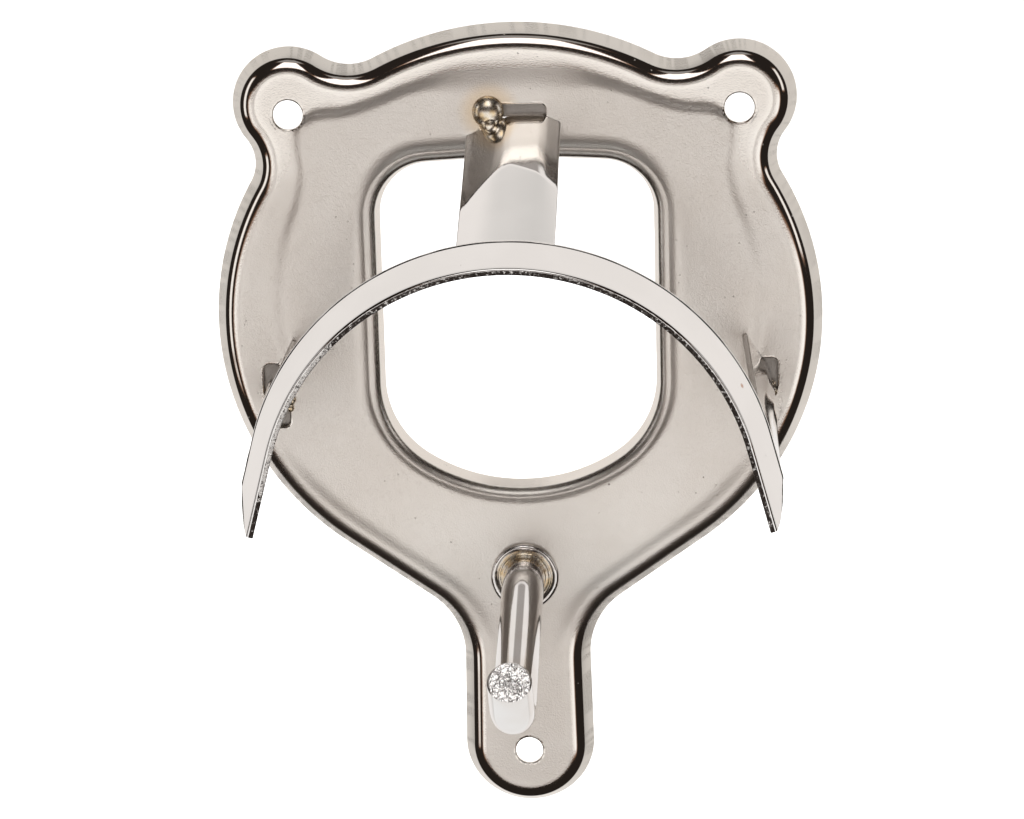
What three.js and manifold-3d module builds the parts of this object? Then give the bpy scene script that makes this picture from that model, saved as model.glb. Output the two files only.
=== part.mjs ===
// A wall-mounted bridle bracket, in millimetres. +X is the bracket's right, +Z is up and the front
// faces -Y. The wall is the plane y = 0, and the origin is on it, in the middle of the pressed lip
// below the central opening.
import * as THREE from 'three';
import { mergeVertices } from 'three/addons/utils/BufferGeometryUtils.js';
import Module from 'manifold-3d';

const wasm = await Module();
wasm.setup();

// ---------- driving dimensions ----------
const sheet = 1.2;                      // steel of the backplate
const fit = 0.3;                        // gap kept between neighbouring pieces
const chordError = 0.05;                // how far a polygon may stray from its arc

// The backplate's right half, clockwise from the top of the head to the foot of the stem.
const plateTop = 115.2;
const plateEdge = [
  { bend: 75, sweep: 27 },              // crown of the head
  { bend: -12.5, sweep: 61 },           // notch before the ear
  { bend: 14, sweep: 162 },             // ear
  { bend: -9.3, sweep: 68.5 },          // notch below the ear
  { bend: 69.5, sweep: 85.5 },          // cheek
  { run: 25.8 },                        // flank down to the stem
  { bend: -18.6, sweep: 56 },           // fillet into the stem
  { run: 22.7 },                        // side of the stem
];
const rimFlare = 2.2;                   // the rim's width on the flat, from the wall to the shoulder
const rimRise = 4.2;                    // and its height off the wall
const shoulderRadius = 4;

// The central opening's right half, measured at the lip on the wall.
const openingTop = 81.9;
const openingEdge = [
  { bend: 314, sweep: 4 },              // top edge, very slightly bowed
  { bend: 12.5, sweep: 86 },            // upper corner
  { run: 42 },                          // side
  { bend: 23, sweep: 56.5 },            // lower corner
];
const lipAngle = THREE.MathUtils.degToRad(78);
const lipRadius = 2.7;

const earHole = { x: 54.6, z: 94.3, radius: 3.6 };
const stemHole = { x: 0, z: -69.2, radius: 3.4 };
const slotLong = 15.8;                  // windows that the tabs' tongues go through
const slotShort = 6.2;
const slotCorner = 1.4;
const topSlot = { x: 0, z: 93 };
const sideSlot = { x: 60.2, z: 24.2 };

// The arched rest: a flared band whose front edge is an arc with two straight legs.
const restSheet = 1.6;
const archFront = -64;
const archBack = -54;
const archCentre = 10.3;
const archRadius = 58.3;                // of the front edge, outside
const archSweep = 75;
const legLength = 20.6;
const archFlare = 4.5;                  // how much further out the back edge is
const tipTaper = 11;                    // length over which each leg narrows to its tip
const tipCurve = 1.4;                   // 1 is a straight taper, 2 an elliptical one
const tabWidth = 23;
const sideTabWidth = 18;
const sideTabStart = 73.2;              // along the band's back edge from its apex
const tabRoot = 0.72;                   // where the tabs are rooted in the band, 0 front to 1 back
const tabSkin = 0.06;                   // how far a tab's root lies under the band's surface
const topTabHeight = 91.6;              // where the top tab meets the plate
const sideTabTop = { x: 55.9, z: 38.4 };
const sideTabLean = 17.5;               // degrees off vertical, following the band
const topTongue = { start: 5.5, width: 12, rise: 0.4 };
const sideTongue = { start: 10.4, width: 9, rise: 0 };
const tongueReach = 4.8;                // past the back of the plate's sheet
const bandPoints = 67;                  // along the band
const tabPoints = 9;                    // across a tab

// The hook below the opening.
const rodRadius = 5.2;
const rodHeight = -22.9;
const rodSides = 24;
const rodPath = [
  { run: 14 },                          // straight out through the plate
  { bend: 30, sweep: 15 },              // dips
  { run: 42.5 },
  { bend: -12.5, sweep: 65 },           // turns up
  { run: 10.8 },
];
const rodBehind = 1.4;                  // stands proud inside the plate's back
const collarRadius = 8.5;
const collarHeight = 2;

// Weld beads, each with its centre on the plate and its radius.
const topBead = { x: -5.8, z: 94.4, radius: 4 };
const sideBead = { x: 56.1, z: 22.8, radius: 2.4 };

// ---------- materials ----------
const satinNickel = new THREE.MeshStandardMaterial({ color: 0xd8d0c9, roughness: 0.28, metalness: 1 });
const brightNickel = new THREE.MeshStandardMaterial({ color: 0xe2e0dd, roughness: 0.12, metalness: 1 });
const weldMetal = new THREE.MeshStandardMaterial({ color: 0xc9a97a, roughness: 0.25, metalness: 1 });

// ---------- paths made of arcs and straight runs ----------
const arcSteps = (radius, sweep) => {
  const widest = 2 * Math.acos(1 - chordError / Math.abs(radius));
  return Math.max(2, Math.ceil(sweep / widest));
};

// Follows a list of moves and gives points with the unit normal on the left of travel. heading is
// clockwise from +x, a positive bend turns clockwise, and a negative one turns the other way.
function tracePath(start, moves) {
  const points = [];
  let { x, z, heading } = start;
  const mark = () => points.push({ x, z, nx: Math.sin(heading), nz: Math.cos(heading) });
  mark();
  for (const { run, bend, sweep } of moves) {
    if (run) {
      x += run * Math.cos(heading);
      z -= run * Math.sin(heading);
      mark();
      continue;
    }
    const turn = Math.sign(bend) * THREE.MathUtils.degToRad(sweep);
    const centre = { x: x - bend * Math.sin(heading), z: z - bend * Math.cos(heading) };
    const steps = arcSteps(bend, Math.abs(turn));
    for (let step = 0; step < steps; step += 1) {
      heading += turn / steps;
      x = centre.x + bend * Math.sin(heading);
      z = centre.z + bend * Math.cos(heading);
      mark();
    }
  }
  return { points, end: { x, z, heading } };
}

const mirrorX = (point) => ({ ...point, x: -point.x, nx: -point.nx });

// The closed outline whose right half starts at the top, on the centreline, and is closed by the
// one arc that lands square on the centreline again.
function symmetricOutline(top, moves) {
  const half = tracePath({ x: 0, z: top, heading: 0 }, moves);
  const closing = {
    bend: half.end.x / Math.sin(half.end.heading),
    sweep: 180 - THREE.MathUtils.radToDeg(half.end.heading),
  };
  const foot = tracePath(half.end, [closing]);
  const right = [...half.points, ...foot.points.slice(1)];
  const left = right.slice(1, -1).map(mirrorX).reverse();
  return [...right, ...left];
}

// ---------- solids ----------
const ringAt = (outline, inset, y) => (
  outline.map((p) => new THREE.Vector3(p.x - p.nx * inset, y, p.z - p.nz * inset))
);

function ringArea(ring) {
  return THREE.ShapeUtils.area(ring.map((v) => new THREE.Vector2(v.x, v.z)));
}

const flatCap = (ring) => (
  THREE.ShapeUtils.triangulateShape(ring.map((v) => new THREE.Vector2(v.x, v.z)), [])
);

// The cap of a strip's ring, whose second half runs back along its first.
const ladderCap = (ring) => Array.from({ length: ring.length / 2 - 1 }, (_, i) => {
  const opposite = ring.length - 1 - i;
  return [[i, i + 1, opposite - 1], [i, opposite - 1, opposite]];
}).flat();

// A closed solid through rings of equal length, capped at both ends. The rings run from the back
// (high y) to the front.
function loft(rings, cap = flatCap) {
  const count = rings[0].length;
  const forward = ringArea(rings[0]) > 0;
  const positions = rings.flat().flatMap((v) => [v.x, v.y, v.z]);
  const faces = [];
  const addFace = (a, b, c) => faces.push(...(forward ? [a, b, c] : [a, c, b]));
  for (let row = 0; row + 1 < rings.length; row += 1) {
    for (let i = 0; i < count; i += 1) {
      const a = row * count + i;
      const b = row * count + ((i + 1) % count);
      addFace(a, b, b + count);
      addFace(a, b + count, a + count);
    }
  }
  const addCap = (ring, base, facesFront) => {
    for (const [a, b, c] of cap(ring)) {
      const turned = ringArea([a, b, c].map((k) => ring[k])) > 0;
      const outward = facesFront === turned;
      faces.push(base + a, base + (outward ? b : c), base + (outward ? c : b));
    }
  };
  addCap(rings[0], 0, false);
  addCap(rings.at(-1), (rings.length - 1) * count, true);
  return solidFrom(positions, faces);
}

function solidFrom(positions, faces) {
  const mesh = new wasm.Mesh({
    numProp: 3,
    vertProperties: new Float32Array(positions),
    triVerts: new Uint32Array(faces),
  });
  return new wasm.Manifold(mesh);
}

function solidOf(geometry) {
  geometry.deleteAttribute('normal');
  geometry.deleteAttribute('uv');
  const merged = mergeVertices(geometry, 1e-4);
  return solidFrom(merged.attributes.position.array, merged.index.array);
}

// Cutting tools that run front to back, long enough to clear the plate both ways.
const toolLength = 40;

function drill({ x, z, radius }) {
  const bar = new THREE.CylinderGeometry(radius, radius, toolLength, 32);
  bar.translate(x, 0, z);
  return solidOf(bar);
}

function window({ x, z }, width, height) {
  const w = width / 2 - slotCorner;
  const h = height / 2 - slotCorner;
  const shape = new THREE.Shape();
  shape.absarc(w, h, slotCorner, 0, Math.PI / 2);
  shape.absarc(-w, h, slotCorner, Math.PI / 2, Math.PI);
  shape.absarc(-w, -h, slotCorner, Math.PI, Math.PI * 1.5);
  shape.absarc(w, -h, slotCorner, Math.PI * 1.5, Math.PI * 2);
  const punch = new THREE.ExtrudeGeometry(shape, {
    depth: toolLength,
    bevelEnabled: false,
    curveSegments: 4,
  });
  punch.rotateX(Math.PI / 2);
  punch.translate(x, toolLength / 2, z);
  return solidOf(punch);
}

// ---------- backplate ----------
const rimAngle = Math.atan2(rimRise, rimFlare);
const plateDepth = rimRise + shoulderRadius * (1 - Math.cos(rimAngle));
const rim = { flare: rimFlare, rise: rimRise, radius: shoulderRadius, angle: rimAngle };
const lipRise = plateDepth - lipRadius * (1 - Math.cos(lipAngle));
const lip = { flare: lipRise / Math.tan(lipAngle), rise: lipRise, radius: lipRadius, angle: lipAngle };
const shoulderSteps = 4;

// The pressed section as [inset, y] pairs, from the wall to the flat face: a flared wall and a
// rounded shoulder. thickness moves it inwards by one sheet.
function pressing({ flare, rise, radius, angle }, thickness) {
  const centre = { inset: flare + radius * Math.sin(angle), y: radius * Math.cos(angle) - rise };
  const inner = radius - thickness;
  const section = [[thickness / Math.sin(angle), 0]];
  for (let step = 0; step <= shoulderSteps; step += 1) {
    const turn = angle * (1 - step / shoulderSteps);
    section.push([centre.inset - inner * Math.sin(turn), centre.y - inner * Math.cos(turn)]);
  }
  return section;
}

function backplate() {
  const edge = symmetricOutline(plateTop, plateEdge);
  const opening = symmetricOutline(openingTop, openingEdge);
  const past = 1;                       // how far a cutting solid runs on beyond what it cuts
  const rings = (outline, section, side) => section.map(([inset, y]) => ringAt(outline, side * inset, y));
  const hollowSection = pressing(rim, sheet);
  const bossSection = pressing(lip, sheet);
  const mouthSection = pressing(lip, 0);
  const block = loft(rings(edge, pressing(rim, 0), 1));
  const hollow = loft(rings(edge, [[hollowSection[0][0], past], ...hollowSection], 1));
  // Both run on at each end, so that they cut clean through.
  const through = (section) => [
    [section[0][0], past],
    ...section,
    [section.at(-1)[0], -plateDepth - past],
  ];
  const boss = loft(rings(opening, through(bossSection), -1));
  const mouth = loft(rings(opening, through(mouthSection), -1));
  const cuts = [
    drill({ ...earHole, x: -earHole.x }),
    drill(earHole),
    drill(stemHole),
    drill({ x: 0, z: rodHeight, radius: rodRadius + fit }),
    window(topSlot, slotLong, slotShort),
    window({ ...sideSlot, x: -sideSlot.x }, slotShort, slotLong),
    window(sideSlot, slotShort, slotLong),
  ];
  const dish = block.subtract(hollow.subtract(boss)).subtract(mouth);
  return cuts.reduce((solid, cut) => solid.subtract(cut), dish);
}

// ---------- crown rest ----------
// The band's front edge from the left tip over the apex to the right tip.
function archPath(outset) {
  const top = archCentre + archRadius + outset;
  const moves = [{ bend: archRadius + outset, sweep: archSweep }, { run: legLength }];
  const right = tracePath({ x: 0, z: top, heading: 0 }, moves).points;
  return [...right.slice(1).map(mirrorX).reverse(), ...right];
}

// The distance along a path to each of its points.
function distancesAlong(path) {
  const lengths = [0];
  for (let i = 1; i < path.length; i += 1) {
    lengths.push(lengths[i - 1] + Math.hypot(path[i].x - path[i - 1].x, path[i].z - path[i - 1].z));
  }
  return lengths;
}

const pathLength = (path) => distancesAlong(path).at(-1);

// The part of a path between two distances along it, as evenly spaced points.
function stretch(path, from, to, count) {
  const lengths = distancesAlong(path);
  const at = (distance) => {
    const next = Math.max(1, lengths.findIndex((length) => length >= distance - 1e-9));
    const share = (distance - lengths[next - 1]) / (lengths[next] - lengths[next - 1]);
    const mix = (key) => path[next - 1][key] * (1 - share) + path[next][key] * share;
    return { x: mix('x'), z: mix('z'), nx: mix('nx'), nz: mix('nz') };
  };
  return Array.from({ length: count }, (_, i) => at(from + ((to - from) * i) / (count - 1)));
}


// One cross-section of a bent strip: its outer face and, one sheet inside it, its inner face.
const stripRing = (line, y, thickness, sunk = 0) => [
  ...ringAt(line, sunk, y),
  ...ringAt(line, thickness - sunk, y).reverse(),
];

// back is 0 at the band's front edge and 1 at its back edge, where the taper takes most.
function band() {
  const rings = [1, 0.94, 0.8, 0.6, 0.35, 0.12, 0].map((back) => {
    const path = archPath(archFlare * back);
    const trim = tipTaper * (1 - (1 - back ** tipCurve) ** (1 / tipCurve));
    const line = stretch(path, trim, pathLength(path) - trim, bandPoints);
    return stripRing(line, THREE.MathUtils.lerp(archFront, archBack, back), restSheet);
  });
  return loft(rings, ladderCap);
}

// A straight line across a tab's end, with the same normal all along.
function chord(from, to, count) {
  const length = Math.hypot(to.x - from.x, to.z - from.z);
  const nx = -(to.z - from.z) / length;
  const nz = (to.x - from.x) / length;
  return Array.from({ length: count }, (_, i) => ({
    x: THREE.MathUtils.lerp(from.x, to.x, i / (count - 1)),
    z: THREE.MathUtils.lerp(from.z, to.z, i / (count - 1)),
    nx,
    nz,
  }));
}

// A tab runs from its root in the band to a shoulder on the plate, and its narrower tongue goes on
// through the plate's window. start and end are distances from the apex along the band's edges, and
// from and to are the shoulder's two ends. The tongue starts a distance from the shoulder's first
// end and climbs by rise for each millimetre that it runs back.
function tab(start, end, from, to, tongue) {
  const rootY = THREE.MathUtils.lerp(archFront, archBack, tabRoot);
  const shoulderY = -plateDepth - fit;
  const bandLine = (back) => {
    const path = archPath(archFlare * back);
    const middle = pathLength(path) / 2;
    return stretch(path, middle + start, middle + end, tabPoints);
  };
  const body = loft([
    stripRing(chord(from, to, tabPoints), shoulderY, restSheet, tabSkin),
    stripRing(bandLine(1), archBack, restSheet, tabSkin),
    stripRing(bandLine(tabRoot), rootY, restSheet, tabSkin),
  ], ladderCap);

  const width = Math.hypot(to.x - from.x, to.z - from.z);
  const onShoulder = (distance) => ({
    x: THREE.MathUtils.lerp(from.x, to.x, distance / width),
    z: THREE.MathUtils.lerp(from.z, to.z, distance / width),
  });
  const line = chord(onShoulder(tongue.start), onShoulder(tongue.start + tongue.width), 2);
  const section = (y) => {
    const climb = tongue.rise * (y - shoulderY);
    const climbed = line.map((p) => ({ ...p, x: p.x + p.nx * climb, z: p.z + p.nz * climb }));
    return stripRing(climbed, y, restSheet, tabSkin * 2);
  };
  const tip = section(-plateDepth + sheet + tongueReach);
  return body.add(loft([tip, section(shoulderY - 1)], ladderCap));
}

function sideTab() {
  const lean = THREE.MathUtils.degToRad(sideTabLean);
  const bottom = {
    x: sideTabTop.x + tabWidth * Math.sin(lean),
    z: sideTabTop.z - tabWidth * Math.cos(lean),
  };
  return tab(sideTabStart, sideTabStart + sideTabWidth, sideTabTop, bottom, sideTongue);
}

function crownRest() {
  const left = { x: -tabWidth / 2, z: topTabHeight };
  const right = { x: tabWidth / 2, z: topTabHeight };
  const topTab = tab(-tabWidth / 2, tabWidth / 2, left, right, topTongue);
  const side = sideTab();
  return band().add(topTab).add(side).add(side.mirror([1, 0, 0]));
}

// ---------- hook ----------
// The rod's centreline runs forward in the plane x = 0. Its path is traced with forward as x.
function hookRod() {
  const startY = -plateDepth + sheet + rodBehind;
  const { points } = tracePath({ x: 0, z: rodHeight, heading: 0 }, rodPath);
  const circle = Array.from({ length: rodSides }, (_, i) => (2 * Math.PI * i) / rodSides);
  return loft(points.map((p) => circle.map((angle) => new THREE.Vector3(
    rodRadius * Math.cos(angle),
    startY - p.x - rodRadius * Math.sin(angle) * p.nx,
    p.z + rodRadius * Math.sin(angle) * p.nz,
  ))));
}

// The upset ring round the rod's foot: a low dome with a bore.
function hookCollar() {
  const bore = rodRadius + fit;
  const middle = (bore + collarRadius) / 2;
  const half = (collarRadius - bore) / 2;
  const steps = 7;
  const profile = Array.from({ length: steps + 1 }, (_, step) => {
    const turn = (Math.PI * step) / steps;
    return new THREE.Vector2(middle + half * Math.cos(turn), collarHeight * Math.sin(turn));
  });
  profile.push(profile[0].clone());
  const ring = new THREE.LatheGeometry(profile, 32);
  ring.rotateX(Math.PI);
  ring.translate(0, -plateDepth - fit, rodHeight);
  return solidOf(ring);
}

// ---------- weld beads ----------
// A bead is a dome on the plate's face, cut clear of the tab that it holds.
function weldBead({ x, z, radius }, clearance) {
  const ball = new THREE.SphereGeometry(radius, 20, 14);
  ball.scale(1, 0.8, 1);
  ball.translate(x, -plateDepth, z);
  const behind = new THREE.BoxGeometry(toolLength, toolLength, toolLength);
  behind.translate(x, toolLength / 2 - plateDepth - fit, z);
  return solidOf(ball).subtract(solidOf(behind)).subtract(clearance);
}

const grown = (solid, by) => {
  const shifts = [[by, 0, 0], [-by, 0, 0], [0, 0, by], [0, 0, -by]];
  return shifts.reduce((sum, shift) => sum.add(solid.translate(shift)), solid);
};

// ---------- assembly ----------
function meshOf(name, solid, material) {
  const { numProp, vertProperties, triVerts } = solid.getMesh();
  const geometry = new THREE.BufferGeometry();
  geometry.setAttribute('position', new THREE.BufferAttribute(vertProperties, numProp));
  geometry.setIndex(new THREE.BufferAttribute(triVerts, 1));
  geometry.computeVertexNormals();
  const mesh = new THREE.Mesh(geometry, material);
  mesh.name = name;
  return mesh;
}

const rest = crownRest();
const clearOfRest = grown(rest, fit);
const group = new THREE.Group();
group.add(
  meshOf('backplate', backplate(), satinNickel),
  meshOf('crown_rest', rest, brightNickel),
  meshOf('hook_rod', hookRod(), brightNickel),
  meshOf('hook_collar', hookCollar(), brightNickel),
  meshOf('weld_bead_top', weldBead(topBead, clearOfRest), weldMetal),
  meshOf('weld_bead_left', weldBead({ ...sideBead, x: -sideBead.x }, clearOfRest), weldMetal),
  meshOf('weld_bead_right', weldBead(sideBead, clearOfRest), weldMetal),
);

export default group;
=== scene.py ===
import math
import random

import bmesh
import bpy
import numpy as np
from mathutils import Matrix, Vector, geometry


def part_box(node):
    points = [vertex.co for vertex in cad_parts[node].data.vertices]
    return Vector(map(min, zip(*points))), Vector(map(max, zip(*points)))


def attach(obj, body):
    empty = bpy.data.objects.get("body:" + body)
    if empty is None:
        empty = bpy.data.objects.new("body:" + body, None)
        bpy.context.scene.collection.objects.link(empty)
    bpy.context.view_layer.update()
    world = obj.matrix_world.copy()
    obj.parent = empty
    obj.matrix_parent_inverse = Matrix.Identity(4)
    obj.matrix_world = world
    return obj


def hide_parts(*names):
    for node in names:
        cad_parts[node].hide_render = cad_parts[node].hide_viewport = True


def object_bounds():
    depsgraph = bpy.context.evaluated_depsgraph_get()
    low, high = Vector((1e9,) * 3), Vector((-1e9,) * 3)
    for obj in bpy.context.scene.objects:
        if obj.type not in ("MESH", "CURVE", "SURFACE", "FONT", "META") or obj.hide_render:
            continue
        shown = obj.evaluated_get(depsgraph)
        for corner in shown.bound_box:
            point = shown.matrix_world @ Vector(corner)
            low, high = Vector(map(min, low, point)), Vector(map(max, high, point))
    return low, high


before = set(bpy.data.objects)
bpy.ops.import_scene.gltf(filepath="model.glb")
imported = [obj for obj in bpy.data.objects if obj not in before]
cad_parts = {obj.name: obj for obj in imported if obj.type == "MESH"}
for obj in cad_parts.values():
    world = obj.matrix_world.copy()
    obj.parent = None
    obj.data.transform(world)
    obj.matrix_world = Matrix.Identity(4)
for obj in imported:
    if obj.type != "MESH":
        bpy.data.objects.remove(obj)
cad_lo, cad_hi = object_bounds()

MM = 0.001
WELD_DISTANCE = 2e-7  # metres
BODY = "root"
rng = random.Random(7)


# ---------------------------------------------------------------- driving dimensions, in mm
def in_mm(node):
    """A CAD node's lowest and highest corner, in millimetres."""
    lo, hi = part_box(node)
    return np.array(lo) / MM, np.array(hi) / MM


plate_lo, plate_hi = in_mm("backplate")
rest_lo, _ = in_mm("crown_rest")
rod_lo, rod_hi = in_mm("hook_rod")
_, collar_hi = in_mm("hook_collar")

SHEET = 1.2
PLATE_TOP = plate_hi[2]
PLATE_EDGE = (  # right half, clockwise from the top; ("bend", radius, sweep) or ("run", length)
    ("bend", 75, 27),
    ("bend", -12.5, 61),
    ("bend", 14, 162),
    ("bend", -9.3, 68.5),
    ("bend", 69.5, 85.5),
    ("run", 25.8),
    ("bend", -18.6, 56),
    ("run", 22.7),
)
RIM_FLARE, RIM_RISE, SHOULDER = 2.2, 4.2, 4.0
RIM_ANGLE = math.atan2(RIM_RISE, RIM_FLARE)
DEPTH = -plate_lo[1]  # of the plate's flat face, in front of the wall
OPENING_TOP = 81.9
OPENING_EDGE = (("bend", 314, 4), ("bend", 12.5, 86), ("run", 42), ("bend", 23, 56.5))
LIP_ANGLE, LIP_RADIUS = math.radians(78), 2.7
EAR_HOLE, STEM_HOLE = (54.6, 94.3, 3.6), (0, -69.2, 3.4)  # x, z and radius
SLOT_LONG, SLOT_SHORT, SLOT_CORNER = 15.8, 6.2, 1.4
TOP_SLOT, SIDE_SLOT = (0, 93), (60.2, 24.2)
HOLE_BEVEL, ROD_GAP = 0.35, 0.3
FACE_INSET = 0.05  # the visual face lies this far behind the solid's

# The raised middle of the plate: its right-hand edge, from the top down, and how high it stands.
PANEL_EDGE = (
    (0, 103.4), (10, 103.1), (18, 102.2), (26, 100), (34, 96.9), (41, 94.9), (48, 94.2), (52.2, 91.4),
    (52.6, 86), (52, 80), (53.3, 73), (55.8, 66), (57.8, 58.5), (58.8, 51), (58.8, 44), (57.6, 36),
    (54, 26), (46, 12), (34, 0), (18, -8), (0, -11),
)
PANEL_STEP = 0.62
OPENING_ROLL, CHEEK_ROLL = 1.05, 0.45  # how far the face rolls over, towards the opening and the cheeks
GRID_STEP, GRID_GAP = 1.15, 0.55  # of the points across the face, and from them to its outlines

REST_SHEET = 1.6
ARCH_FRONT, ARCH_BACK = rest_lo[1], -54.0
ARCH_CENTRE, ARCH_RADIUS, ARCH_SWEEP, LEG_LENGTH, ARCH_FLARE = 10.3, 58.3, 75, 20.6, 4.5
TIP_TAPER, TIP_CURVE = 11, 1.4
TAB_WIDTH, SIDE_TAB_WIDTH, SIDE_TAB_START, TAB_ROOT = 23, 18, 73.2, 0.72
TOP_TAB_HEIGHT, SIDE_TAB_TOP, SIDE_TAB_LEAN = 91.6, (55.9, 38.4), 17.5
TAB_ROWS, TAB_COLUMNS = 100, 40
SKIN = 0.06  # the visual tabs lie this far inside their solids
TONGUE_EDGE = 0.35  # the top tongue stops this short of its slot's ends
SIDE_TONGUE_TOP, SIDE_TONGUE_FOOT = (60.2, 31.2), (63.0, 17.2)
PAD_MARGIN = 2.0  # a tongue's hammered end reaches this far past its slot
PAD_SIDES = 64
# The pad's profile: its size, and its depth behind its front face.
PAD_PROFILE = ((0.02, 0.0), (0.9, 0.0), (0.97, 0.08), (1.0, 0.3), (1.0, 0.9), (0.95, 1.2), (0.8, 1.35),
               (0.02, 1.4))

BAND_STATIONS, BAND_COLUMNS, BAND_CORNER = 561, 18, 0.38
BURR = 0.13  # how far the back edge of the band turns out

ROD_RADIUS = rod_hi[0]
ROD_HEIGHT = -22.9
ROD_SIDES = 72
SAW_SLANT = 0.23  # the cut is not square: its lower side is shorter
SAW_CHAMFER, SAW_RINGS = 0.4, 22
ROD_PATH = (("run", 14), ("bend", 30, 15), ("run", 42.5), ("bend", -12.5, 65), ("run", 10.8))
COLLAR_RADIUS, COLLAR_HEIGHT = collar_hi[0], 2.0
COLLAR_SIDES, COLLAR_CORNER, COLLAR_DIP = 120, 0.75, 0.75

TOP_BEAD = ((-6.0, 0, 94.4, 3.9, 0.66), (-5.5, 1.0, 91.4, 2.3, 0.8))  # x, height, z, radius, flattening
SIDE_BEADS = ((61.9, 0.0, 25.7, 1.1, 0.8), (62.1, 0.0, 23.7, 1.25, 0.8), (56.9, 0.2, 25.2, 1.0, 0.8),
              (56.6, 0.3, 23.2, 1.3, 0.8), (56.9, 0.2, 21.1, 1.1, 0.8), (57.4, 0.9, 23.9, 0.9, 0.8))
BEAD_VOXEL, BEAD_SMOOTHING = 0.12, 110


# ---------------------------------------------------------------- small maths
def smooth(t):
    """0 to 1 with level ends."""
    t = np.clip(t, 0, 1)
    return t * t * (3 - 2 * t)


def trace(x, z, heading, moves, chord=0.004, longest=1.2):
    """Rows of x, z, nx, nz along moves. heading is clockwise from +x, and a positive bend is clockwise."""
    rows = [(x, z, math.sin(heading), math.cos(heading))]
    for kind, size, *sweep in moves:
        if kind == "run":
            steps = max(1, math.ceil(size / longest))
            for _ in range(steps):
                x += size / steps * math.cos(heading)
                z -= size / steps * math.sin(heading)
                rows.append((x, z, math.sin(heading), math.cos(heading)))
            continue
        turn = math.copysign(math.radians(sweep[0]), size)
        widest = min(2 * math.acos(1 - chord / abs(size)), longest / abs(size))
        steps = max(2, math.ceil(abs(turn) / widest))
        cx, cz = x - size * math.sin(heading), z - size * math.cos(heading)
        for _ in range(steps):
            heading += turn / steps
            x, z = cx + size * math.sin(heading), cz + size * math.cos(heading)
            rows.append((x, z, math.sin(heading), math.cos(heading)))
    return np.array(rows), heading


def mirrored(rows):
    """Rows of x, z, nx, nz with their sides swapped."""
    return rows * np.array([-1, 1, -1, 1])


def symmetric_outline(top, moves):
    """A closed outline from its right half, finished by a round foot on the middle line."""
    half, heading = trace(0, top, 0, moves)
    radius = half[-1, 0] / math.sin(heading)
    foot, _ = trace(half[-1, 0], half[-1, 1], heading, [("bend", radius, 180 - math.degrees(heading))])
    right = np.vstack([half, foot[1:]])
    return np.vstack([right, mirrored(right[1:-1])[::-1]])


def ring(rows, inset, y):
    """3-D points of an outline moved in by inset, at a depth y (a number or one for each point)."""
    xz = rows[:, :2] - rows[:, 2:] * inset
    return np.column_stack([xz[:, 0], np.broadcast_to(y, len(xz)), xz[:, 1]])


def distance_to(points, loop, batch=2000):
    """Distance from each 2-D point to a closed outline."""
    d = np.roll(loop, -1, axis=0) - loop
    length2 = np.maximum((d**2).sum(1), 1e-12)
    best = np.empty(len(points))
    for start in range(0, len(points), batch):
        p = points[start : start + batch]
        t = np.clip(((p[:, None] - loop[None]) * d[None]).sum(2) / length2, 0, 1)
        near = loop[None] + t[..., None] * d[None]
        best[start : start + batch] = np.sqrt(((p[:, None] - near) ** 2).sum(2)).min(1)
    return best


def inside(points, loop):
    """Which 2-D points lie inside a closed outline."""
    hit = np.zeros(len(points), bool)
    for (x0, z0), (x1, z1) in zip(loop, np.roll(loop, -1, axis=0)):
        if z0 == z1:
            continue
        crosses = (z0 > points[:, 1]) != (z1 > points[:, 1])
        hit ^= crosses & (points[:, 0] < (x1 - x0) * (points[:, 1] - z0) / (z1 - z0) + x0)
    return hit


def catmull(points, per=8):
    """A smooth curve through points."""
    p = np.array(points, float)
    p = np.vstack([2 * p[0] - p[1], p, 2 * p[-1] - p[-2]])
    out = []
    for i in range(1, len(p) - 2):
        for t in np.arange(per) / per:
            out.append(0.5 * (2 * p[i] + (p[i + 1] - p[i - 1]) * t
                              + (2 * p[i - 1] - 5 * p[i] + 4 * p[i + 1] - p[i + 2]) * t**2
                              + (3 * p[i] - p[i - 1] - 3 * p[i + 1] + p[i + 2]) * t**3))
    out.append(p[-2])
    return np.array(out)


class Ripple:
    """Smooth seeded noise in one dimension, with a chosen spacing."""

    PERIOD = 997

    def __init__(self, seed, spacing):
        self.values = np.array([random.Random(seed + i).uniform(-1, 1) for i in range(self.PERIOD)])
        self.spacing = spacing

    def __call__(self, s):
        t = np.asarray(s, float) / self.spacing
        i = np.floor(t).astype(int)
        f = smooth(t - i)
        return self.values[i % self.PERIOD] * (1 - f) + self.values[(i + 1) % self.PERIOD] * f


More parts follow.
